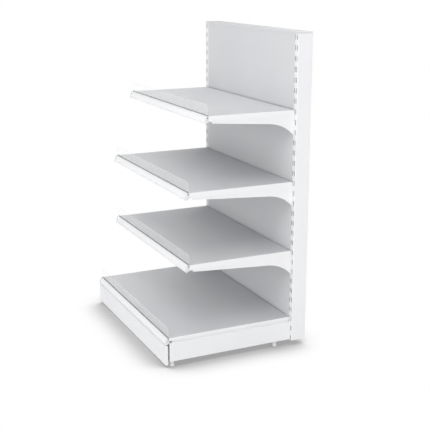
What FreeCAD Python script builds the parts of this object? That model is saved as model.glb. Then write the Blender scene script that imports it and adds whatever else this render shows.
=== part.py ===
import FreeCAD, Part
import os
from math import cos, pi, radians, sin, tan
from FreeCAD import Vector

# One bay of single-sided shop shelving that stands with its back to a wall.
# Millimetres. X runs along the bay, Y from the shopper to the wall, Z up.
# The origin is on the floor, in the middle of the bay's length and depth.

# Overall sizes
bay_length = 1000.0          # between the centres of the two uprights
upright_length = 1530.0
top_shelf_depth = 450.0      # from the uprights to the shelf's front fold
shelf_depth = 550.0
deck_depth = 660.0

# Uprights
upright_width = 30.0
upright_depth = 80.0
upright_wall = 2.0
upright_corner = 3.0
slot_pitch = 50.0
slot_height = 24.0
slot_column = 7.5            # slot column's distance from the upright's centre
slot_end = 15.0              # first slot's centre above the upright's lower end
slot_side_gap = 1.25         # between a hook and each side of its slot
upright_cap_rim = 10.0
upright_cap_wall = 2.5
upright_cap_plug = 8.0       # ends above the top crossbar's bolts
upright_cap_gap = 0.3

# Shelf levels, counted in slots from the lowest slot
deck_slot = 2
slots_between_shelves = 7
shelf_names = ["lower", "middle", "top"]
shelf_rise = 8.0             # shelf surface above the centre of its slot

# Folded shelf trays
shelf_sheet = 1.0
sheet_bend = 1.0             # inner radius of every fold
bend_gap = 0.1               # between a fold's inner radius and what stands beside it
front_fold = 24.0
side_fold = 26.0
rear_fold = 26.0
front_return = 12.0
rear_return = 10.0
shelf_rear_gap = 6.0         # between the uprights and the shelf's rear fold
rear_lip = 9.5               # the rear fold's height where it crosses a bracket
lip_gap = 0.3                # behind and below the rear lip in its notch
lip_width = 7.0              # length of the short lip at each end of the rear fold

# Stiffeners under the trays
stiffener_spacing = 250.0
stiffener_height = 18.0
stiffener_width = 60.0
stiffener_slope = 10.0
stiffener_flange = 12.0
stiffener_end_gap = 25.0     # short of the side folds

# Brackets and their hooks
bracket_plate = 2.5
bracket_gap = 0.2            # between a bracket's rear edge and the upright
bracket_tip_gap = 4.0        # behind the shelf's front return
bracket_tip_height = 34.0
bracket_rear_height = 121.0
flare_reach = 60.0           # corner of the lower edge in front of the upright
flare_height = 64.0
flare_radius = 190.0
hook_neck = 11.0
hook_drop = 10.0
hook_width = 6.0
hook_gap = 0.3               # between a hook and the inside of the upright's wall
hook_round = 2.0

# Price strips, clear risers and the strips' end caps
strip_wall = 1.5
strip_gap = 0.2              # between the strip and the shelf's front fold
strip_top = 0.8              # below the shelf surface
strip_foot = 5.0
strip_lean = 18.0            # degrees from upright
strip_face = 37.0
face_wall = 1.3
label_gap = 1.0
label_lip = 4.0
groove_width = 2.8
groove_depth = 12.0
riser_sheet = 2.0
riser_height = 52.0
riser_gap = 0.4              # between the riser and the groove's rear wall
riser_end_gap = 3.0
riser_corner = 15.0
riser_round = 0.9            # along the edges above the groove
end_cap_sheet = 1.5
end_cap_proud = 2.5          # in front of the strip's face
end_cap_round = 2.0
end_cap_edge = 3.0           # the cap's lower edge below the front fold

# Base legs, deck and plinth
leg_sheet = 2.0
leg_bend = 0.5
leg_flange = 45.0
leg_ledge = 5.0              # the step in the leg below the deck's side fold
deck_side_fold = 15.0
deck_gap = 11.5              # between the deck's side fold and the ledge
deck_side_gap = 0.3          # between the deck's side return and the leg
leg_rear_plate = 2.5
leg_front_gap = 1.0          # behind the deck's front fold
blade_inset = 25.0           # plinth blade's distance inside the leg's outer face
blade_reach = 13.0
blade_height = 30.0
blade_lift = 30.0            # above the leg's lower face
plinth_sheet = 1.0
plinth_return = 13.0
plinth_floor_gap = 12.0
plinth_top_gap = 2.0         # below the deck's price strip
plinth_setback = 2.0         # behind the price strip's front
clip_sheet = 0.8
clip_gap = 0.15
clip_reach = 15.0
clip_height = 20.0

# Levelling feet
leg_floor_gap = 27.0         # underside of the legs and uprights above the floor
foot_inset = 20.0            # stem's distance inside the leg's outer face
front_foot_reach = 640.0     # in front of the uprights
rear_foot_reach = 78.0
stem_diameter = 10.0
stem_length = 62.0
stem_disc_diameter = 16.0
stem_disc_height = 4.0
stem_gap = 0.05              # radial running gap
stem_slot_width = 1.6
stem_slot_depth = 2.5
stem_hole_gap = 0.6          # radial gap in the leg's flange
pad_diameter = 22.0
pad_flange_diameter = 28.0
pad_flange_height = 3.0
pad_floor = 4.0              # under the stem's disc
pad_top_gap = 2.5            # below the leg
pad_round = 1.0
nut_across = 17.0
nut_height = 8.0

# Back panels, crossbars, the top cover and its saddles
panel_count = 4
panel_sheet = 1.0
panel_flange = 18.0
panel_recess = 1.0           # behind the uprights' front face
panel_end_gap = 0.6
panel_seam = 1.0
panel_hook = 12.0
panel_below_deck = 15.0
hook_slack = 0.5             # between a panel's hook and its crossbar
cover_sheet = 1.0
cover_lip = 14.0
cover_face_gap = 0.3         # in front of the top panel
cover_rear_gap = 2.0
cover_rear_lip = 30.0
saddle_length = 30.0
saddle_wall = 2.0
saddle_inset = 2.0           # from the front and rear of the top panel
saddle_spacing = 350.0
crossbar_sheet = 1.5
crossbar_height = 40.0
crossbar_depth = 36.0
crossbar_rear = 25.0
crossbar_end = 2.5
crossbar_notch_gap = 1.0
bolt_diameter = 8.0
bolt_gap = 0.2
bolt_length = 14.0
bolt_head_across = 13.0
bolt_head_height = 5.3
bolt_spacing = 18.0

# Places that follow from the sizes above
upright_x = bay_length / 2
upright_inside = upright_x - upright_width / 2
slot_x = upright_x - slot_column
slot_width = bracket_plate + 2 * slot_side_gap
fold_gap = sheet_bend + bend_gap
half_shelf = slot_x + bracket_plate / 2 + fold_gap + shelf_sheet
upright_top = leg_floor_gap + upright_length
cover_top = upright_top + upright_cap_rim
slot_count = int((upright_length - 2 * slot_end) // slot_pitch) + 1
lean = radians(strip_lean)
strip_stand = 2 * face_wall + label_gap
face_start = strip_gap + strip_wall + groove_width
cap_front = strip_stand + end_cap_proud
strip_reach = (face_start + (strip_face - end_cap_round) * sin(lean)
               + (cap_front - end_cap_round) * cos(lean) + end_cap_round)
strip_drop = strip_top + strip_face * cos(lean)
front_y = (deck_depth + strip_reach - upright_depth) / 2
shelf_rear = front_y - shelf_rear_gap
panel_face = front_y + panel_recess
panel_rear = panel_face + panel_flange
crossbar_face = panel_rear - panel_sheet - hook_slack - crossbar_sheet
bolt_y = crossbar_face + crossbar_depth / 2


def slot_z(row):
    return leg_floor_gap + slot_end + slot_pitch * row


def shelf_top(row):
    return slot_z(row) + shelf_rise


deck_top = shelf_top(deck_slot)
panel_bottom = deck_top - panel_below_deck
panel_top = upright_top - cover_sheet
panel_pitch = (panel_top - panel_bottom) / panel_count
crossbar_tops = [panel_top - panel_pitch * k for k in range(panel_count + 1)]


# Drawing and folding

def block(x0, x1, y0, y1, z0, z1):
    return Part.makeBox(x1 - x0, y1 - y0, z1 - z0, Vector(x0, y0, z0))


def drum(radius, length, base, axis=Vector(0, 0, 1)):
    return Part.makeCylinder(radius, length, base, axis)


def rounded_face(corners):
    # A closed outline of (point, radius) corners, filled.
    edges = []
    first = last = None
    for i, (corner, radius) in enumerate(corners):
        before = corners[i - 1][0]
        after = corners[(i + 1) % len(corners)][0]
        back = (before - corner).normalize()
        ahead = (after - corner).normalize()
        start = end = corner
        if radius:
            half = back.getAngle(ahead) / 2
            start = corner + back * (radius / tan(half))
            end = corner + ahead * (radius / tan(half))
            inward = (back + ahead).normalize()
            middle = corner + inward * (radius / sin(half) - radius)
        if last is None:
            first = start
        elif last.distanceToPoint(start) > 1e-6:
            edges.append(Part.LineSegment(last, start).toShape())
        if radius:
            edges.append(Part.Arc(start, middle, end).toShape())
        last = end
    if last.distanceToPoint(first) > 1e-6:
        edges.append(Part.LineSegment(last, first).toShape())
    return Part.Face(Part.Wire(edges))


def across(y, z):
    # A point of a section that is drawn from the bay's end.
    return Vector(0, y, z)


def along(x, z):
    # A point of a section that is drawn from the front.
    return Vector(x, 0, z)


def folded_face(path, side_axis, sheet, bend):
    # The section of a folded sheet: path runs along one face, and the sheet's
    # thickness lies to the left of it, seen with side_axis towards the eye.
    steps = [(b - a).normalize() for a, b in zip(path, path[1:])]
    lefts = [side_axis.cross(step) for step in steps]
    near = [(path[0], 0)]
    far = [(path[0] + lefts[0] * sheet, 0)]
    for i in range(1, len(path) - 1):
        mitre = (lefts[i - 1] + lefts[i]) * (sheet / (1 + lefts[i - 1].dot(lefts[i])))
        turns_left = steps[i - 1].cross(steps[i]).dot(side_axis) > 0
        near.append((path[i], bend + sheet if turns_left else bend))
        far.append((path[i] + mitre, bend if turns_left else bend + sheet))
    near.append((path[-1], 0))
    far.append((path[-1] + lefts[-1] * sheet, 0))
    return rounded_face(near + far[::-1])


def extrude_x(face, x0, x1):
    return face.translated(Vector(x0, 0, 0)).extrude(Vector(x1 - x0, 0, 0))


def extrude_y(face, y0, y1):
    return face.translated(Vector(0, y0, 0)).extrude(Vector(0, y1 - y0, 0))


def fold_across(path, x0, x1, sheet, bend):
    return extrude_x(folded_face(path, Vector(1, 0, 0), sheet, bend), x0, x1)


def joined(first, *others):
    return first.fuse(list(others)).removeSplitter()


def tray(low, high, sheet, open_axis):
    # A sheet with four folds. open_axis points out of the open side.
    def shell(inset, radius):
        size = high - low - Vector(2, 2, 2) * inset
        box = Part.makeBox(size.x, size.y, size.z, low + Vector(1, 1, 1) * inset)
        rim = max(v.Point.dot(open_axis) for v in box.Vertexes)
        edges = [e for e in box.Edges if e.CenterOfMass.dot(open_axis) < rim - inset - sheet]
        return box.makeFillet(radius, edges)

    hollow = shell(sheet, sheet_bend)
    return shell(0, sheet_bend + sheet).cut(hollow.fuse(hollow.translated(open_axis * 2 * sheet)))


def hexagon(across_flats, height, base, axis):
    ring = Part.makeCircle(across_flats / 2 / cos(pi / 6), base, axis)
    points = ring.discretize(7)
    return Part.Face(Part.makePolygon(points)).extrude(axis * height)


def left_copy(shape):
    return shape.mirror(Vector(0, 0, 0), Vector(1, 0, 0))


# Frame

def upright():
    outside = [(-1, 0), (1, 0), (1, 1), (-1, 1)]

    def section(inset, radius):
        half = upright_width / 2 - inset
        depth = upright_depth - 2 * inset
        corners = [(Vector(upright_x + a * half, front_y + inset + b * depth, leg_floor_gap), radius)
                   for a, b in outside]
        return rounded_face(corners).extrude(Vector(0, 0, upright_length))

    tube = section(0, upright_corner).cut(section(upright_wall, upright_corner - upright_wall))
    cuts = []
    for row in range(slot_count):
        low = slot_z(row) - slot_height / 2
        for x in (slot_x, upright_x + slot_column):
            cuts.append(block(x - slot_width / 2, x + slot_width / 2, front_y - 1,
                              front_y + upright_wall + 1, low, low + slot_height))
    for top in crossbar_tops:
        for place in bolt_places(top):
            cuts.append(drum(bolt_diameter / 2 + bolt_gap, 2 * upright_wall,
                             place - Vector(upright_wall / 2, 0, 0), Vector(1, 0, 0)))
    return tube.cut(Part.makeCompound(cuts))


def upright_cap():
    inset = upright_wall + upright_cap_gap
    rim = block(upright_inside, upright_inside + upright_width, front_y, front_y + upright_depth,
                upright_top, upright_top + upright_cap_rim)
    upper = [e for e in rim.Edges if e.CenterOfMass.z > upright_top]
    rim = rim.makeFillet(upright_corner, upper)
    plug = block(upright_inside + inset, upright_inside + upright_width - inset, front_y + inset,
                 front_y + upright_depth - inset, upright_top - upright_cap_plug, upright_top)
    wall = inset + upright_cap_wall
    hollow = block(upright_inside + wall, upright_inside + upright_width - wall,
                   front_y + wall, front_y + upright_depth - wall,
                   upright_top - upright_cap_plug, upright_top + upright_cap_rim - upright_cap_wall)
    return joined(rim, plug).cut(hollow)


def bolt_places(top):
    # Where the bolts of the right end of a crossbar meet the upright.
    middle = top - panel_sheet - crossbar_height / 2
    return [Vector(upright_inside, bolt_y, middle + side * bolt_spacing / 2) for side in (-1, 1)]


def crossbar(top):
    high = top - panel_sheet
    low = high - crossbar_height
    rear = crossbar_face + crossbar_depth
    path = [across(crossbar_face, high), across(crossbar_face, low),
            across(rear, low), across(rear, low + crossbar_rear)]
    bar = fold_across(path, -upright_inside, upright_inside, crossbar_sheet, sheet_bend)
    end = block(upright_inside - crossbar_end, upright_inside, crossbar_face + crossbar_sheet,
                rear - crossbar_sheet, low + crossbar_sheet, high)
    for place in bolt_places(top):
        end = end.cut(drum(bolt_diameter / 2 + bolt_gap, 2 * crossbar_end,
                           place - Vector(2 * crossbar_end, 0, 0), Vector(1, 0, 0)))
    return joined(bar, end, left_copy(end))


def crossbar_bolts():
    bolts = []
    for top in crossbar_tops:
        for place in bolt_places(top):
            seat = place - Vector(crossbar_end, 0, 0)
            head = hexagon(bolt_head_across, bolt_head_height, seat, Vector(-1, 0, 0))
            bolt = joined(head, drum(bolt_diameter / 2, bolt_length, seat, Vector(1, 0, 0)))
            bolts += [bolt, left_copy(bolt)]
    return Part.makeCompound(bolts)


def back_panel(top):
    half = upright_inside - panel_end_gap
    low = top - panel_pitch + panel_seam
    panel = tray(Vector(-half, panel_face, low), Vector(half, panel_rear, top), panel_sheet,
                 Vector(0, 1, 0))
    notch_low = top - panel_sheet - crossbar_height - crossbar_notch_gap
    notch = block(half - 2 * panel_sheet, half + 1, crossbar_face - crossbar_notch_gap,
                  panel_rear + 1, notch_low, top + 1)
    hook_half = half - 2 * panel_sheet
    hook = block(-hook_half, hook_half, panel_rear - panel_sheet, panel_rear, top - panel_hook, top)
    return joined(panel.cut(notch).cut(left_copy(notch)), hook)


def top_cover():
    half = upright_inside - panel_end_gap
    face = panel_face - cover_face_gap - cover_sheet
    rear = front_y + upright_depth - cover_rear_gap
    path = [across(rear, cover_top - cover_rear_lip), across(rear, cover_top),
            across(face, cover_top), across(face, cover_top - cover_lip)]
    return fold_across(path, -half, half, cover_sheet, sheet_bend)


def cover_saddles():
    # Hollow blocks that stand on the top panel and carry the cover.
    front = panel_face + saddle_inset
    rear = panel_rear - saddle_inset
    high = cover_top - cover_sheet
    saddles = []
    for x in (-saddle_spacing, 0, saddle_spacing):
        left = x - saddle_length / 2
        right = x + saddle_length / 2
        solid = block(left, right, front, rear, panel_top, high)
        hollow = block(left - 1, right + 1, front + saddle_wall, rear - saddle_wall,
                       panel_top + saddle_wall, high - saddle_wall)
        saddles.append(solid.cut(hollow))
    return Part.makeCompound(saddles)


# Hooks and brackets

def hook_corners(row):
    # The outline of one hook, from its lower to its upper edge.
    seat = slot_z(row) - slot_height / 2
    rear = front_y - bracket_gap
    nose = front_y + upright_wall + hook_gap
    return [(across(rear, seat), 0),
            (across(nose, seat), 0),
            (across(nose, seat - hook_drop), 0),
            (across(nose + hook_width, seat - hook_drop), hook_round),
            (across(nose + hook_width, seat + hook_neck), hook_round),
            (across(rear, seat + hook_neck), 0)]


def bracket(depth, row):
    surface = shelf_top(row)
    seat = surface - shelf_sheet
    rear = front_y - bracket_gap
    tip = front_y - depth + shelf_sheet + front_return + bracket_tip_gap
    notch_front = shelf_rear - shelf_sheet - fold_gap
    notch_rear = shelf_rear + lip_gap
    notch_floor = surface - rear_lip - lip_gap
    corners = [(across(notch_front, seat), 0),
               (across(tip, seat), 0),
               (across(tip, seat - bracket_tip_height), 0),
               (across(front_y - flare_reach, seat - flare_height), flare_radius),
               (across(rear, seat - bracket_rear_height), 0)]
    corners += hook_corners(row - 2) + hook_corners(row - 1)
    corners += [(across(rear, seat), 0),
                (across(notch_rear, seat), 0),
                (across(notch_rear, notch_floor), 0),
                (across(notch_front, notch_floor), 0)]
    return extrude_x(rounded_face(corners), slot_x - bracket_plate / 2, slot_x + bracket_plate / 2)


# Shelves and deck

def shelf_tray(depth, surface, sides):
    front = front_y - depth
    deepest = max(front_fold, sides, rear_fold)
    pan = tray(Vector(-half_shelf, front, surface - deepest), Vector(half_shelf, shelf_rear, surface),
               shelf_sheet, Vector(0, 0, -1))
    inner_front = front + shelf_sheet
    inner_rear = shelf_rear - shelf_sheet
    inner_half = half_shelf - shelf_sheet
    trims = [(-half_shelf, half_shelf, front, inner_front, front_fold),
             (-half_shelf, -inner_half, inner_front, inner_rear, sides),
             (inner_half, half_shelf, inner_front, inner_rear, sides),
             (-half_shelf, half_shelf, inner_rear, shelf_rear, rear_fold)]
    lip_start = inner_half - lip_width
    trims += [(-half_shelf, -lip_start, inner_rear, shelf_rear, rear_lip),
              (lip_start, half_shelf, inner_rear, shelf_rear, rear_lip)]
    below = surface - deepest - 1
    cuts = [block(x0, x1, y0, y1, below, surface - fold) for x0, x1, y0, y1, fold in trims
            if fold < deepest]
    pan = pan.cut(Part.makeCompound(cuts)) if cuts else pan
    front_flange = block(-inner_half, inner_half, front, inner_front + front_return,
                         surface - front_fold, surface - front_fold + shelf_sheet)
    rear_flange = block(-lip_start, lip_start, inner_rear - rear_return, shelf_rear,
                        surface - rear_fold, surface - rear_fold + shelf_sheet)
    return joined(pan, front_flange, rear_flange)


def deck():
    tray_shape = shelf_tray(deck_depth, deck_top, deck_side_fold)
    inner_half = half_shelf - shelf_sheet
    leg_face = half_shelf - leg_ledge
    low = deck_top - deck_side_fold
    side_return = block(leg_face + deck_side_gap, inner_half, front_y - deck_depth + 2 * front_return,
                        shelf_rear - rear_return, low, low + shelf_sheet)
    return joined(tray_shape, side_return, left_copy(side_return))


def stiffeners(depth, surface):
    count = int(depth // stiffener_spacing)
    half = half_shelf - stiffener_end_gap
    seat = surface - shelf_sheet
    low = seat - stiffener_height
    wide = stiffener_width / 2
    narrow = wide - stiffener_slope
    bars = []
    for i in range(count):
        middle = shelf_rear - (depth - shelf_rear_gap) * (i + 1) / (count + 1)
        path = [across(middle + wide + stiffener_flange, seat), across(middle + wide, seat),
                across(middle + narrow, low), across(middle - narrow, low),
                across(middle - wide, seat), across(middle - wide - stiffener_flange, seat)]
        bars.append(fold_across(path, -half, half, shelf_sheet, sheet_bend))
    return Part.makeCompound(bars)


# Price strip, its end caps and the clear riser

def strip_point(depth, surface, along_face, stand):
    # A point of the strip's face: along_face runs down it, stand comes out of it.
    y = front_y - depth - face_start - along_face * sin(lean) - stand * cos(lean)
    z = surface - strip_top - along_face * cos(lean) + stand * sin(lean)
    return across(y, z)


def price_strip(depth, surface):
    half = half_shelf - end_cap_sheet
    fold_face = front_y - depth
    wall = fold_face - strip_gap
    foot = surface - front_fold
    hook = [across(fold_face + strip_foot, foot), across(wall, foot), across(wall, surface - strip_top)]
    channel = [strip_point(depth, surface, strip_face - label_lip, strip_stand),
               strip_point(depth, surface, strip_face, strip_stand),
               strip_point(depth, surface, strip_face, 0),
               strip_point(depth, surface, 0, 0),
               strip_point(depth, surface, 0, strip_stand),
               strip_point(depth, surface, label_lip, strip_stand)]
    floor = surface - strip_top - groove_depth
    floor_front = wall - strip_wall - groove_width - groove_depth * tan(lean) - face_wall / 2
    web = block(-half, half, floor_front, wall - strip_wall / 2, floor - strip_wall, floor)
    return joined(fold_across(hook, -half, half, strip_wall, strip_gap),
                  fold_across(channel, -half, half, face_wall, strip_gap), web)


def strip_end_caps(depth, surface):
    wall = front_y - depth - strip_gap
    groove_floor = surface - strip_top - groove_depth - strip_wall
    low = surface - front_fold - end_cap_edge
    groove_slant = (groove_depth + strip_wall) / cos(lean)
    corners = [(across(wall, low), 0),
               (across(wall, groove_floor), 0),
               (strip_point(depth, surface, groove_slant, 0), 0),
               (strip_point(depth, surface, 0, 0), 0),
               (strip_point(depth, surface, 0, cap_front), end_cap_round),
               (strip_point(depth, surface, strip_face, cap_front), end_cap_round),
               (strip_point(depth, surface, strip_face, 0), 0)]
    cap = extrude_x(rounded_face(corners), half_shelf - end_cap_sheet, half_shelf)
    return Part.makeCompound([cap, left_copy(cap)])


def riser(depth, surface):
    half = half_shelf - riser_end_gap
    rear = front_y - depth - strip_gap - strip_wall - riser_gap
    floor = surface - strip_top - groove_depth
    top = surface + riser_height
    corners = [(along(-half, floor), 0), (along(half, floor), 0),
               (along(half, top), riser_corner), (along(-half, top), riser_corner)]
    sheet = extrude_y(rounded_face(corners), rear - riser_sheet, rear)
    outline = [e for e in sheet.Edges if e.BoundBox.YLength < riser_round]
    exposed = [e for e in outline if e.CenterOfMass.z > floor + riser_round]
    return sheet.makeFillet(riser_round, exposed)


# Base

def base_leg():
    low = leg_floor_gap
    ledge = deck_top - deck_side_fold - deck_gap
    seat = deck_top - shelf_sheet
    outer = half_shelf
    inner = outer - leg_ledge
    path = [along(outer - leg_flange, low), along(outer, low), along(outer, ledge),
            along(inner, ledge), along(inner, seat)]
    front = front_y - deck_depth + shelf_sheet + leg_front_gap
    rear = front_y - bracket_gap
    section = folded_face(path, Vector(0, -1, 0), leg_sheet, leg_bend)
    channel = extrude_y(section, front, rear)
    tip = front_y - deck_depth + shelf_sheet + front_return + bracket_tip_gap
    channel = channel.cut(block(inner - 2 * leg_sheet, outer, front - 1, tip, ledge, seat + 1))
    notch = block(inner - 2 * leg_sheet, outer, shelf_rear - shelf_sheet - fold_gap, shelf_rear + lip_gap,
                  deck_top - rear_lip - lip_gap, seat + 1)
    channel = channel.cut(notch)
    for place in foot_places():
        channel = channel.cut(drum(stem_diameter / 2 + stem_hole_gap, 2 * leg_sheet,
                                   Vector(place.x, place.y, low - leg_sheet / 2)))
    back = block(outer - leg_flange, outer, rear - leg_rear_plate, rear, low + leg_sheet, seat)
    face = block(outer - leg_flange, outer - leg_sheet, front, front + leg_sheet,
                 low + leg_sheet / 2, ledge - leg_sheet)
    blade_x = outer - blade_inset
    blade = block(blade_x - leg_sheet / 2, blade_x + leg_sheet / 2, front - blade_reach, front + leg_sheet,
                  low + blade_lift, low + blade_lift + blade_height)
    hooks = []
    for row in (deck_slot - 1, deck_slot):
        corners = hook_corners(row)
        neck_front = Vector(0, -leg_rear_plate, 0)
        corners[0] = (corners[0][0] + neck_front, 0)
        corners[-1] = (corners[-1][0] + neck_front, 0)
        hooks.append(extrude_x(rounded_face(corners), slot_x - bracket_plate / 2, slot_x + bracket_plate / 2))
    return joined(channel, back, face, blade, *hooks)


def foot_places():
    x = half_shelf - foot_inset
    return [Vector(x, front_y - reach, 0) for reach in (front_foot_reach, rear_foot_reach)]


def leg_nuts():
    nuts = []
    for place in foot_places():
        base = place + Vector(0, 0, leg_floor_gap + leg_sheet)
        nut = hexagon(nut_across, nut_height, base, Vector(0, 0, 1))
        nut = nut.cut(drum(stem_diameter / 2 + stem_gap, nut_height, base))
        nuts += [nut, left_copy(nut)]
    return Part.makeCompound(nuts)


def foot_pad(place):
    height = leg_floor_gap - pad_top_gap
    flange = drum(pad_flange_diameter / 2, pad_flange_height, place)
    body = drum(pad_diameter / 2, height, place)
    body = body.makeFillet(pad_round, [e for e in body.Edges if e.CenterOfMass.z > height - 1])
    flange = flange.makeFillet(pad_round, [e for e in flange.Edges if e.CenterOfMass.z > 1])
    bore = drum(stem_diameter / 2 + stem_gap, height, place + Vector(0, 0, pad_floor))
    socket = drum(stem_disc_diameter / 2 + stem_gap, stem_disc_height + stem_gap,
                  place + Vector(0, 0, pad_floor))
    return joined(flange, body).cut(bore.fuse(socket))


def foot_stem(place):
    base = place + Vector(0, 0, pad_floor)
    stem = joined(drum(stem_disc_diameter / 2, stem_disc_height, base),
                  drum(stem_diameter / 2, stem_length, base))
    top = base.z + stem_length
    slot = block(place.x - stem_diameter, place.x + stem_diameter, place.y - stem_slot_width / 2,
                 place.y + stem_slot_width / 2, top - stem_slot_depth, top + 1)
    return stem.cut(slot)


def plinth_face():
    return front_y - deck_depth - strip_reach + plinth_setback


def plinth():
    face = plinth_face()
    top = deck_top - strip_drop - plinth_top_gap
    return tray(Vector(-half_shelf, face, plinth_floor_gap), Vector(half_shelf, face + plinth_return, top),
                plinth_sheet, Vector(0, 1, 0))


def plinth_clips():
    x = half_shelf - blade_inset
    back = plinth_face() + plinth_sheet
    low = leg_floor_gap + blade_lift + (blade_height - clip_height) / 2
    side = leg_sheet / 2 + clip_gap
    path = [Vector(x - side - clip_sheet, back + clip_reach, low),
            Vector(x - side - clip_sheet, back, low),
            Vector(x + side + clip_sheet, back, low),
            Vector(x + side + clip_sheet, back + clip_reach, low)]
    section = folded_face(path, Vector(0, 0, 1), clip_sheet, clip_gap)
    clip = section.extrude(Vector(0, 0, clip_height))
    return Part.makeCompound([clip, left_copy(clip)])


# Assembly

def pair(nodes, name, right):
    nodes[name + "_right"] = right
    nodes[name + "_left"] = left_copy(right)


def front_edge(nodes, name, depth, surface):
    nodes[name + "_price_strip"] = price_strip(depth, surface)
    nodes[name + "_strip_end_caps"] = strip_end_caps(depth, surface)
    nodes[name + "_riser"] = riser(depth, surface)
    nodes[name + "_stiffeners"] = stiffeners(depth, surface)


def all_nodes():
    nodes = {}
    pair(nodes, "upright", upright())
    pair(nodes, "upright_cap", upright_cap())
    pair(nodes, "base_leg", base_leg())
    nodes["leg_nuts"] = leg_nuts()
    for name, place in zip(("front", "rear"), foot_places()):
        pair(nodes, "foot_pad_" + name, foot_pad(place))
        pair(nodes, "foot_stem_" + name, foot_stem(place))
    for k, top in enumerate(crossbar_tops):
        nodes["crossbar_%d" % (k + 1)] = crossbar(top)
        if k < panel_count:
            nodes["back_panel_%d" % (k + 1)] = back_panel(top)
    nodes["crossbar_bolts"] = crossbar_bolts()
    nodes["top_cover"] = top_cover()
    nodes["cover_saddles"] = cover_saddles()
    for level, name in enumerate(shelf_names):
        row = deck_slot + slots_between_shelves * (level + 1)
        depth = top_shelf_depth if name == "top" else shelf_depth
        pair(nodes, name + "_bracket", bracket(depth, row))
        nodes[name + "_shelf"] = shelf_tray(depth, shelf_top(row), side_fold)
        front_edge(nodes, name + "_shelf", depth, shelf_top(row))
    nodes["deck"] = deck()
    front_edge(nodes, "deck", deck_depth, deck_top)
    nodes["plinth"] = plinth()
    nodes["plinth_clips"] = plinth_clips()
    return nodes


os.makedirs("parts", exist_ok=True)
for node, shape in all_nodes().items():
    shape.exportStep("parts/" + node + ".step")
    print(node, len(shape.Solids), shape.isValid(), round(sum(s.Volume for s in shape.Solids)))
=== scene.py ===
import math
import bpy
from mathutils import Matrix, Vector


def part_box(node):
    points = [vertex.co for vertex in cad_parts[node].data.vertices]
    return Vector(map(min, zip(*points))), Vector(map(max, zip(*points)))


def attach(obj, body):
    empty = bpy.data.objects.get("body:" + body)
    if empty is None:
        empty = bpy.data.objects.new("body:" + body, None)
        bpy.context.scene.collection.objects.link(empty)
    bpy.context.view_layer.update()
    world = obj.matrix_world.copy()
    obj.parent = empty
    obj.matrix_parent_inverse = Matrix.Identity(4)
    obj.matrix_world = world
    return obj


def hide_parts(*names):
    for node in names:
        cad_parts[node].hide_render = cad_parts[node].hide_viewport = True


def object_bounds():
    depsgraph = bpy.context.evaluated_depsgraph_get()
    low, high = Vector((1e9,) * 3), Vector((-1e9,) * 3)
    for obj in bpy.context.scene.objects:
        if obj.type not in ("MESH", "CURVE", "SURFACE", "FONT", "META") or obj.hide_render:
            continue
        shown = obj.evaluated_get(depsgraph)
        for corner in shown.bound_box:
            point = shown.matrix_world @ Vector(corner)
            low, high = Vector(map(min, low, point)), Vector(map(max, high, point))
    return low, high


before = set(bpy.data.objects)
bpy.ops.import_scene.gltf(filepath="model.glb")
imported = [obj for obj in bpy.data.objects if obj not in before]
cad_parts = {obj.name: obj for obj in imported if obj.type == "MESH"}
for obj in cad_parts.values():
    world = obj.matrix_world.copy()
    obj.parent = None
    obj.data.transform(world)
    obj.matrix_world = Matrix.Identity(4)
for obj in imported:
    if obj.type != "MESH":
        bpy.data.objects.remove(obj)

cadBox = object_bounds()
scene = bpy.context.scene
scene.view_settings.view_transform = "Standard"


class Wire:  # a socket that can stand in a sum
    def __init__(self, tree, socket):
        self.tree = tree
        self.socket = socket

    def add(self, kind, settings, sockets, out=0):  # any node: its settings first, then its sockets
        node = self.tree.nodes.new(kind)
        for key, value in settings.items():
            setattr(node, key, value)
        for key, value in sockets.items():
            if isinstance(value, Wire):
                self.tree.links.new(value.socket, node.inputs[key])
            else:
                node.inputs[key].default_value = value
        return Wire(self.tree, node.outputs[out])

    def sum(self, operation, first, second):
        return self.add("ShaderNodeMath", {"operation": operation}, {0: first, 1: second})

    def __add__(self, other):
        return self.sum("ADD", self, other)

    def __radd__(self, other):
        return self.sum("ADD", other, self)

    def __sub__(self, other):
        return self.sum("SUBTRACT", self, other)

    def __rsub__(self, other):
        return self.sum("SUBTRACT", other, self)

    def __mul__(self, other):
        return self.sum("MULTIPLY", self, other)

    def __rmul__(self, other):
        return self.sum("MULTIPLY", other, self)

    def __mod__(self, other):
        return self.sum("FLOORED_MODULO", self, other)

    def __rmod__(self, other):
        return self.sum("FLOORED_MODULO", other, self)

    def __lt__(self, other):
        return self.sum("LESS_THAN", self, other)

    def __gt__(self, other):  # what Python turns number < wire into
        return self.sum("GREATER_THAN", self, other)

    def __abs__(self):
        return self.sum("ABSOLUTE", self, 0)


def newFinish(name):
    material = bpy.data.materials.new(name)
    material.use_nodes = True
    tree = material.node_tree
    shader = tree.nodes["Principled BSDF"]
    place = Wire(tree, tree.nodes.new("ShaderNodeTexCoord").outputs["Object"])
    return material, shader, place


def feed(shader, socketName, wire):
    wire.tree.links.new(wire.socket, shader.inputs[socketName])


def axes(place):
    split = place.add("ShaderNodeSeparateXYZ", {}, {"Vector": place})
    return [Wire(place.tree, output) for output in split.socket.node.outputs]


def larger(first, second):
    return first.sum("MAXIMUM", first, second)


def smaller(first, second):
    return first.sum("MINIMUM", first, second)


def distance(first, second):  # of a point from where both are 0
    return first.sum("POWER", first * first + second * second, 0.5)


def roundedReach(first, second):  # reach past a rounded outline's core, from the reach past each side
    return distance(larger(first, 0), larger(second, 0)) + smaller(larger(first, second), 0)


def fade(wire, low, high):  # 0 below low, 1 above high, smooth between
    return wire.add("ShaderNodeMapRange", {"interpolation_type": "SMOOTHSTEP"},
                    {"Value": wire, "From Min": low, "From Max": high})


def blendColours(factor, first, second):  # 6, 7 and 2 are a Mix node's colour sockets
    return factor.add("ShaderNodeMix", {"data_type": "RGBA"}, {0: factor, 6: first, 7: second}, out=2)


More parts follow.
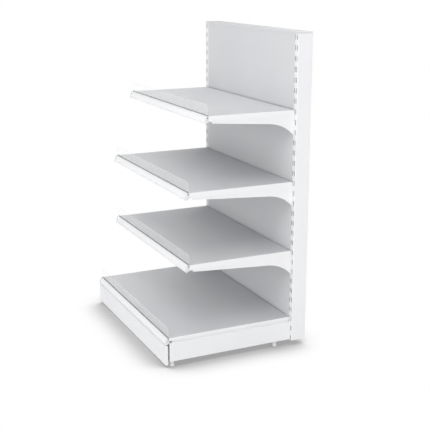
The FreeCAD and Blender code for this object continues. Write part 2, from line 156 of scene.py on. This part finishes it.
def grain(place, size, detail=2.0, stretch=(1, 1, 1)):  # cloudy noise, size in metres
    scales = tuple(s / size for s in stretch)
    spot = place.add("ShaderNodeMapping", {}, {"Vector": place, "Scale": scales})
    return place.add("ShaderNodeTexNoise", {}, {"Vector": spot, "Scale": 1.0, "Detail": detail})


noiseSpread = {"low": 0.3, "middle": 0.5, "high": 0.7}  # where nearly all of a noise's values lie


def clouded(noise, first, second):  # one colour that drifts into another
    return blendColours(fade(noise, noiseSpread["low"], noiseSpread["high"]), first, second)


def drift(noise, amount):  # wavers about 0
    return (noise - noiseSpread["middle"]) * amount


def bump(shader, height, depth):
    sockets = {"Strength": 1.0, "Distance": depth, "Height": height}
    feed(shader, "Normal", height.add("ShaderNodeBump", {}, sockets))


# white powder coat, on everything that is folded or welded from steel
coatLook = {
    "white": (0.85, 0.85, 0.857, 1), "shade": (0.825, 0.828, 0.84, 1),
    "cloud": 0.35, "peel": 0.0016, "peelDepth": 0.00003,
    "rough": 0.62, "roughDrift": 0.14, "gloss": 0.3,
}
shelfShadeLook = dict(coatLook, white=(0.71, 0.71, 0.72, 1), shade=(0.685, 0.69, 0.705, 1))  # painted shade: the white coat darkened for the shelves and deck in the bays
panelShadeLook = dict(coatLook, white=(0.68, 0.68, 0.69, 1), shade=(0.655, 0.66, 0.675, 1))  # painted shade: the white coat darkened for the back panels in the bays


def powderCoat(name, marks=None, look=coatLook):
    material, shader, place = newFinish(name)
    cloud = grain(place, look["cloud"])
    height = grain(place, look["peel"], detail=1.0)  # the orange-peel skin
    colour = clouded(cloud, look["white"], look["shade"])
    rough = look["rough"] + drift(cloud, look["roughDrift"])
    if marks:
        colour, rough, height = marks(place, colour, rough, height)
    feed(shader, "Base Color", colour)
    feed(shader, "Roughness", rough)
    shader.inputs["Specular IOR Level"].default_value = look["gloss"]
    bump(shader, height, look["peelDepth"])
    return material


# faint rubbing where goods are slid in and out, painted shade darkening towards the back, and end flanges
# kept at the unshaded white
rubAndShadeLook = {
    "colour": (0.64, 0.645, 0.66, 1), "share": 0.35, "polish": 0.10,
    "length": 0.35, "width": 0.006, "start": 0.60, "end": 0.78,
    "patchStart": 0.45, "patchEnd": 0.7, "flange": 0.001,
    "backShade": (0.57, 0.575, 0.59, 1), "backShadeReach": 0.30, "backShadeRough": 0.1,
    "backShadeShare": {"top_shelf": 0.4},  # the top shelf has no shelf above it, so it gets less painted shade
}


def rubAndShadeFor(node):
    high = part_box(node)[1]
    backShadeShare = rubAndShadeLook["backShadeShare"].get(node, 1)

    def rubAndShade(place, colour, rough, height):
        x, y = axes(place)[:2]
        acrossStreak = (rubAndShadeLook["length"] / rubAndShadeLook["width"], 1, 1)
        lines = grain(place, rubAndShadeLook["length"], detail=3.0, stretch=acrossStreak)
        streak = fade(lines, rubAndShadeLook["start"], rubAndShadeLook["end"])
        patch = fade(grain(place, rubAndShadeLook["length"]), rubAndShadeLook["patchStart"], rubAndShadeLook["patchEnd"])
        mark = streak * patch
        # painted shade: darker towards the back, where the shelf above shades it
        backShade = fade(y, high.y - rubAndShadeLook["backShadeReach"], high.y) * backShadeShare
        # the outer side flanges keep the full white coat, without the painted shade of the shelf
        flange = fade(abs(x), high.x - rubAndShadeLook["flange"], high.x - rubAndShadeLook["flange"] / 2)
        colour = blendColours(mark * rubAndShadeLook["share"], colour, rubAndShadeLook["colour"])
        colour = blendColours(backShade, colour, rubAndShadeLook["backShade"])
        colour = blendColours(flange, colour, coatLook["white"])
        rough = rough - mark * rubAndShadeLook["polish"] + backShade * rubAndShadeLook["backShadeRough"]
        return colour, rough, height

    return rubAndShade


# painted shade in the uprights: a dark colour inside the tube and on the slot walls, seen through the slots;
# the white coat reaches deeper into the left upright's slots
tubeLook = {
    "paintedEdge": {"upright_right": 0.0003, "upright_left": 0.0018}, "corner": 0.003,
    "slotShade": (0.15, 0.155, 0.16, 1), "slotShadeRough": 0.15,
}


def slotShadeMarksFor(node):
    low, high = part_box(node)
    middle = (low + high) / 2
    half = (high - low) / 2
    corner = tubeLook["corner"]

    def slotShadeMarks(place, colour, rough, height):
        x, y = axes(place)[:2]
        reach = roundedReach(abs(x - middle.x) - (half.x - corner), abs(y - middle.y) - (half.y - corner))
        # painted shade: dark inside the tube and on the slot walls, past the white-coated edge
        inside = reach < corner - tubeLook["paintedEdge"][node]
        return blendColours(inside, colour, tubeLook["slotShade"]), rough + inside * tubeLook["slotShadeRough"], height

    return slotShadeMarks


# light scuffs low down, where shoes and mops touch
scuffLook = {
    "colour": (0.60, 0.60, 0.61, 1), "share": 0.22, "rough": 0.2,
    "length": 0.05, "width": 0.004, "start": 0.66, "end": 0.8, "low": 0.02, "high": 0.10,
}


def scuffMarks(place, colour, rough, height):
    z = axes(place)[2]
    acrossStreak = (1, 1, scuffLook["length"] / scuffLook["width"])
    lines = grain(place, scuffLook["length"], stretch=acrossStreak)
    streak = fade(lines, scuffLook["start"], scuffLook["end"])
    mark = streak * (1 - fade(z, scuffLook["low"], scuffLook["high"]))
    colour = blendColours(mark * scuffLook["share"], colour, scuffLook["colour"])
    return colour, rough + mark * scuffLook["rough"], height


# round spot-weld dimples along the stiffeners' flanges
weldLook = {
    "pitch": 0.10, "radius": 0.003, "core": 0.0018, "inset": 0.006, "barWidth": 0.084,
    "colour": (0.72, 0.725, 0.74, 1), "share": 0.5, "dent": 6.0,
}


def weldMarksFor(node):
    low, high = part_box(node)
    pitch = weldLook["pitch"]
    inset = weldLook["inset"]
    farInset = weldLook["barWidth"] - inset
    lines = (low.y + inset, low.y + farInset, high.y - farInset, high.y - inset)

    def weldMarks(place, colour, rough, height):
        x, y = axes(place)[:2]
        alongBar = abs(x % pitch - pitch / 2)
        acrossBar = abs(y - lines[0])
        for line in lines[1:]:
            acrossBar = smaller(acrossBar, abs(y - line))
        dot = 1 - fade(distance(alongBar, acrossBar), weldLook["core"], weldLook["radius"])
        colour = blendColours(dot * weldLook["share"], colour, weldLook["colour"])
        return colour, rough, height - dot * weldLook["dent"]

    return weldMarks


# white extruded plastic of the price strips
stripLook = {
    "white": (0.86, 0.86, 0.865, 1), "shade": (0.835, 0.84, 0.85, 1), "cloud": 0.25,
    "lineWidth": 0.0012, "lineLength": 0.4, "lineDepth": 0.00001,
    "rough": 0.30, "roughDrift": 0.12,
}


def stripPlastic(name):
    material, shader, place = newFinish(name)
    cloud = grain(place, stripLook["cloud"])
    alongStrip = (stripLook["lineWidth"] / stripLook["lineLength"], 1, 1)
    dieLines = grain(place, stripLook["lineWidth"], detail=1.0, stretch=alongStrip)
    feed(shader, "Base Color", clouded(cloud, stripLook["white"], stripLook["shade"]))
    feed(shader, "Roughness", stripLook["rough"] + drift(dieLines, stripLook["roughDrift"]))
    bump(shader, dieLines, stripLook["lineDepth"])
    return material


# clear sheet of the risers, denser along its cut edges, with a dark grey band at its foot as painted shade
# of the strip's groove
sheetLook = {
    "colour": (0.91, 0.92, 0.925, 1), "alpha": 0.11, "corner": 0.015,
    "edge": (0.84, 0.85, 0.86, 1), "edgeAlpha": 0.30, "edgeWidth": 0.0032,
    "foot": (0.36, 0.36, 0.37, 1), "footAlpha": 0.55, "footHeight": 0.005, "footFade": 0.00064,
    "stands": 0.052, "rough": 0.10, "smear": 0.12, "smearSize": 0.08,
}


def clearSheet(node):
    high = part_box(node)[1]
    material, shader, place = newFinish(node + "Clear")
    x, z = axes(place)[::2]
    width = sheetLook["edgeWidth"]
    corner = sheetLook["corner"]
    reach = roundedReach(abs(x) - (high.x - corner), z - (high.z - corner))
    edge = fade(reach, corner - width, corner - width / 2)
    # painted shade: the sheet darker and denser at its foot, where it stands in the groove
    footTop = high.z - sheetLook["stands"] + sheetLook["footHeight"]
    foot = 1 - fade(z, footTop - sheetLook["footFade"], footTop)
    smear = grain(place, sheetLook["smearSize"], detail=3.0)
    colour = blendColours(edge, sheetLook["colour"], sheetLook["edge"])
    alpha = sheetLook["alpha"] + edge * (sheetLook["edgeAlpha"] - sheetLook["alpha"])
    feed(shader, "Base Color", blendColours(foot, colour, sheetLook["foot"]))
    feed(shader, "Alpha", alpha + foot * (sheetLook["footAlpha"] - alpha))
    feed(shader, "Roughness", sheetLook["rough"] + smear * sheetLook["smear"])
    return material


# moulded plastic with a fine sparked skin
capLook = {
    "colour": (0.70, 0.70, 0.71, 1), "shade": (0.66, 0.66, 0.675, 1), "cloud": 0.02,
    "skin": 0.0007, "skinDepth": 0.00004, "rough": 0.5, "roughDrift": 0.2,
}
endCapLook = dict(capLook, colour=(0.74, 0.74, 0.745, 1), shade=(0.70, 0.70, 0.71, 1))
footLook = dict(capLook, colour=(0.80, 0.80, 0.80, 1), shade=(0.75, 0.75, 0.755, 1))


def mouldedPlastic(name, look):
    material, shader, place = newFinish(name)
    skin = grain(place, look["skin"], detail=1.0)
    cloud = grain(place, look["cloud"])
    feed(shader, "Base Color", clouded(cloud, look["colour"], look["shade"]))
    feed(shader, "Roughness", look["rough"] + drift(skin, look["roughDrift"]))
    bump(shader, skin, look["skinDepth"])
    return material


# bright zinc plating, slightly blue, with drawing lines
zincLook = {
    "bright": (0.74, 0.75, 0.77, 1), "dull": (0.60, 0.60, 0.60, 1),
    "cloud": 0.006, "dullStart": 0.35, "dullEnd": 0.7,
    "lines": 0.0004, "drawn": (1, 1, 0.1), "lineDepth": 0.00001,
    "rough": 0.34, "roughDrift": 0.2,
}


def zincPlate(name):
    material, shader, place = newFinish(name)
    cloud = grain(place, zincLook["cloud"], detail=3.0)
    lines = grain(place, zincLook["lines"], detail=1.0, stretch=zincLook["drawn"])
    dull = fade(cloud, zincLook["dullStart"], zincLook["dullEnd"])
    feed(shader, "Base Color", blendColours(dull, zincLook["bright"], zincLook["dull"]))
    feed(shader, "Roughness", zincLook["rough"] + drift(cloud, zincLook["roughDrift"]))
    shader.inputs["Metallic"].default_value = 1.0
    bump(shader, lines, zincLook["lineDepth"])
    return material


plainCoat = powderCoat("whiteCoat")
panelShadeCoat = powderCoat("panelShadeCoat", look=panelShadeLook)
lowCoat = powderCoat("baseCoat", scuffMarks)
stripWhite = stripPlastic("stripWhite")
capGrey = mouldedPlastic("capGrey", capLook)
endCapPale = mouldedPlastic("endCapPale", endCapLook)
footWhite = mouldedPlastic("footWhite", footLook)
zinc = zincPlate("zincPlate")


def finishFor(node):
    if node.endswith("_riser"):
        return clearSheet(node)
    if node.endswith("_stiffeners"):
        return powderCoat(node + "Coat", weldMarksFor(node))
    if node.endswith("_price_strip"):
        return stripWhite
    if node.endswith("_strip_end_caps"):
        return endCapPale
    if node.startswith("upright_cap"):
        return capGrey
    if node.startswith("upright"):
        return powderCoat(node + "Coat", slotShadeMarksFor(node))
    if node.startswith("foot_pad") or node == "cover_saddles":
        return footWhite
    if node.startswith("foot_stem") or node in ("leg_nuts", "crossbar_bolts", "plinth_clips"):
        return zinc
    # shelves and deck: their darker tone is painted shade
    if node.endswith("_shelf") or node == "deck":
        return powderCoat(node + "Coat", rubAndShadeFor(node), shelfShadeLook)
    # back panels: their darker tone is painted shade; the top cover shares that tone
    if node.startswith("back_panel") or node == "top_cover":
        return panelShadeCoat
    if node.startswith("base_leg") or node == "plinth":
        return lowCoat
    return plainCoat  # crossbars and brackets


for nodeName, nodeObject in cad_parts.items():
    nodeObject.data.materials.clear()
    nodeObject.data.materials.append(finishFor(nodeName))
print("finishes:", len(bpy.data.materials), "materials on the frame")


# threaded levelling stems, in place of the plain ones
stemLook = {
    "radius": 0.005, "root": 0.0042, "pitch": 0.0015, "crest": 0.0003, "steps": 28, "spareTurns": 2,
    "disc": 0.008, "discHeight": 0.004, "discRound": 0.0006, "sunk": 0.0004,
    "tip": 0.0009, "slotWidth": 0.0016, "slotDepth": 0.0025, "slotLength": 0.02,
    "facets": 48, "seed": 0.001, "near": 1e-5, "merge": 1e-6, "smoothBelow": 35,  # how fine the mesh is
}


def activate(piece):
    bpy.ops.object.select_all(action="DESELECT")
    piece.select_set(True)
    bpy.context.view_layer.objects.active = piece


def applyAll(piece):
    activate(piece)
    for modifier in list(piece.modifiers):
        bpy.ops.object.modifier_apply(modifier=modifier.name)


def cutWith(piece, tool, operation):
    modifier = piece.modifiers.new("cut", "BOOLEAN")
    modifier.operation = operation
    modifier.solver = "EXACT"
    modifier.object = tool
    applyAll(piece)
    bpy.data.objects.remove(tool)


def bevelRims(piece, height, width, segments):  # rounds the rim edges that lie at one height
    activate(piece)
    bpy.ops.object.mode_set(mode="EDIT")
    bpy.ops.mesh.select_mode(type="EDGE")
    bpy.ops.mesh.select_all(action="DESELECT")
    bpy.ops.object.mode_set(mode="OBJECT")
    points = piece.data.vertices
    rim = height - piece.location.z
    for edge in piece.data.edges:
        edge.select = all(abs(points[v].co.z - rim) < stemLook["near"] for v in edge.vertices)
    bpy.ops.object.mode_set(mode="EDIT")
    bpy.ops.mesh.bevel(offset=width, segments=segments)
    bpy.ops.object.mode_set(mode="OBJECT")


def threadedRod(low, high):
    bpy.ops.object.select_all(action="DESELECT")
    bpy.ops.mesh.primitive_plane_add(size=stemLook["seed"], location=(0, 0, 0))
    rod = bpy.context.object
    pitch = stemLook["pitch"]
    crest = stemLook["crest"]
    flank = (pitch - 2 * crest) / 2
    depth = stemLook["radius"] - stemLook["root"]
    bpy.ops.object.mode_set(mode="EDIT")
    bpy.ops.mesh.select_all(action="SELECT")
    bpy.ops.mesh.merge(type="CENTER")  # one point, drawn out into the thread's outline
    bpy.ops.transform.translate(value=(stemLook["root"], 0, low - pitch))
    for step in ((depth, 0, flank), (0, 0, crest), (-depth, 0, flank), (0, 0, crest)):
        bpy.ops.mesh.extrude_region_move(TRANSFORM_OT_translate={"value": step})
    bpy.ops.object.mode_set(mode="OBJECT")
    screw = rod.modifiers.new("thread", "SCREW")
    screw.screw_offset = pitch
    screw.iterations = math.ceil((high - low) / pitch) + stemLook["spareTurns"]
    screw.steps = screw.render_steps = stemLook["steps"]
    screw.use_merge_vertices = True
    screw.merge_threshold = stemLook["merge"]
    applyAll(rod)
    bpy.ops.object.mode_set(mode="EDIT")
    bpy.ops.mesh.select_all(action="SELECT")
    bpy.ops.mesh.remove_doubles(threshold=stemLook["merge"])
    for height, side in ((low, -1), (high, 1)):  # the spare turns come off
        bpy.ops.mesh.select_all(action="SELECT")
        bpy.ops.mesh.bisect(plane_co=(0, 0, height), plane_no=(0, 0, side), use_fill=True, clear_outer=True)
    bpy.ops.mesh.select_all(action="SELECT")
    bpy.ops.mesh.normals_make_consistent(inside=False)
    bpy.ops.object.mode_set(mode="OBJECT")
    return rod


def drumAt(radius, low, high):
    bpy.ops.object.select_all(action="DESELECT")
    bpy.ops.mesh.primitive_cylinder_add(vertices=stemLook["facets"], radius=radius, depth=high - low,
                                        location=(0, 0, (low + high) / 2))
    return bpy.context.object


def levellingStem(low, high):
    discTop = low + stemLook["discHeight"]
    stem = threadedRod(discTop - stemLook["sunk"], high)
    sleeve = drumAt(stemLook["radius"] + stemLook["near"], low, high)
    bevelRims(sleeve, high, stemLook["tip"], segments=1)
    cutWith(stem, sleeve, "INTERSECT")  # chamfers the tip
    disc = drumAt(stemLook["disc"], low, discTop)
    bevelRims(disc, discTop, stemLook["discRound"], segments=2)
    cutWith(stem, disc, "UNION")
    bpy.ops.object.select_all(action="DESELECT")
    bpy.ops.mesh.primitive_cube_add(size=1, location=(0, 0, high))  # half of it stands above the tip
    slot = bpy.context.object
    slot.scale = (stemLook["slotLength"], stemLook["slotWidth"], 2 * stemLook["slotDepth"])
    cutWith(stem, slot, "DIFFERENCE")
    return stem


corners = [(end, side) for end in ("front", "rear") for side in ("right", "left")]
stemLow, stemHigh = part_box("foot_stem_front_right")
patternStem = levellingStem(stemLow.z, stemHigh.z)
for end, side in corners:
    node = "foot_stem_" + end + "_" + side
    low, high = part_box(node)
    middle = (low + high) / 2
    activate(patternStem)
    bpy.ops.object.duplicate(linked=False)
    stem = bpy.context.object
    stem.name = "threadedStem_" + end + "_" + side
    stem.location = (middle.x, middle.y, 0)
    activate(stem)
    bpy.ops.object.transform_apply(location=True, rotation=True, scale=True)
    bpy.ops.object.shade_smooth_by_angle(angle=math.radians(stemLook["smoothBelow"]))
    stem.data.materials.clear()
    stem.data.materials.append(zinc)
    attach(stem, end + "_" + side + "_foot_stem")
    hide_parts(node)
bpy.data.objects.remove(patternStem)
print("stems:", len(corners), "threaded levelling stems")


# plain white floor, with the soft shadow close to the base left on it
floorLook = {
    "size": 60.0, "drop": 0.0004, "colour": (0.85, 0.85, 0.85, 1), "rough": 0.9, "gloss": 0.0,
    "white": (1, 1, 1, 1), "shadow": (0.36, 0.355, 0.36, 1),
    "reach": 0.22, "deep": 0.42, "open": 0.95, "samples": 16,
}


def rayMask(tree):  # 1 for what the eye sees directly, in metal or through clear sheet
    path = tree.nodes.new("ShaderNodeLightPath")
    seen = Wire(tree, path.outputs["Is Camera Ray"])
    for name in ("Is Glossy Ray", "Is Transmission Ray"):
        seen = larger(seen, Wire(tree, path.outputs[name]))
    return seen


bpy.ops.object.select_all(action="DESELECT")
bpy.ops.mesh.primitive_plane_add(size=floorLook["size"], location=(0, 0, -floorLook["drop"]))
floor = bpy.context.object
floor.name = "studioFloor"
floorMaterial, floorShader, floorPlace = newFinish("paleFloor")
floorTree = floorMaterial.node_tree
floorShader.inputs["Base Color"].default_value = floorLook["colour"]
floorShader.inputs["Roughness"].default_value = floorLook["rough"]
floorShader.inputs["Specular IOR Level"].default_value = floorLook["gloss"]
openSky = floorPlace.add("ShaderNodeAmbientOcclusion", {"samples": floorLook["samples"]},
                         {"Distance": floorLook["reach"]}, out="AO")
lit = fade(openSky, floorLook["deep"], floorLook["open"])
tone = blendColours(lit, floorLook["shadow"], floorLook["white"])
glow = tone.add("ShaderNodeEmission", {}, {"Color": tone, "Strength": 1.0})
matt = Wire(floorTree, floorShader.outputs["BSDF"])
shown = glow.add("ShaderNodeMixShader", {}, {0: rayMask(floorTree), 1: matt, 2: glow})
floorTree.links.new(shown.socket, floorTree.nodes["Material Output"].inputs["Surface"])
floor.data.materials.append(floorMaterial)

# soft studio light: an even room, large panels on the shopper's side and a fill behind the bay
roomLook = {
    "colour": (0.97, 0.985, 1.0, 1), "strength": 0.37,
    "backdrop": (1, 1, 1, 1), "backdropStrength": 1.0,
}
panels = {
    "frontPanel": {"place": (0.0, -5.0, 1.2), "size": 3.2, "power": 86},
    "sidePanel": {"place": (5.2, 0.0, 1.2), "size": 3.2, "power": 100},
    "cornerPanel": {"place": (2.4, -2.6, 4.4), "size": 3.2, "power": 84},
    "topPanel": {"place": (0.0, -0.6, 5.2), "size": 3.2, "power": 41},
    "backFill": {"place": (-3.4, 4.0, 1.8), "size": 3.2, "power": 100},
}

world = bpy.data.worlds.new("whiteRoom")
scene.world = world
world.use_nodes = True
roomTree = world.node_tree
roomTree.nodes.clear()
seen = rayMask(roomTree)
room = seen.add("ShaderNodeBackground", {},
                {"Color": roomLook["colour"], "Strength": roomLook["strength"]})
backdrop = seen.add("ShaderNodeBackground", {},
                    {"Color": roomLook["backdrop"], "Strength": roomLook["backdropStrength"]})
both = seen.add("ShaderNodeMixShader", {}, {0: seen, 1: room, 2: backdrop})
ending = roomTree.nodes.new("ShaderNodeOutputWorld")
roomTree.links.new(both.socket, ending.inputs["Surface"])

aim = (cadBox[0] + cadBox[1]) / 2
for name, panel in panels.items():
    lamp = bpy.data.lights.new(name, "AREA")
    lamp.energy = panel["power"]
    lamp.size = panel["size"]
    holder = bpy.data.objects.new(name, lamp)
    scene.collection.objects.link(holder)
    holder.location = panel["place"]
    holder.rotation_euler = (aim - Vector(panel["place"])).to_track_quat("-Z", "Y").to_euler()
print("stage: floor, room and", len(panels), "light panels")

# the photograph's viewpoint
shot = {"place": (4.211, -1.866, 1.837), "turn": 64.80, "tilt": 15.08, "lens": 75.7}
camera = bpy.data.cameras.new("shopView")
camera.lens = shot["lens"]
viewer = bpy.data.objects.new("shopView", camera)
scene.collection.objects.link(viewer)
viewer.location = shot["place"]
viewer.rotation_euler = (math.radians(90 - shot["tilt"]), 0, math.radians(shot["turn"]))
scene.camera = viewer
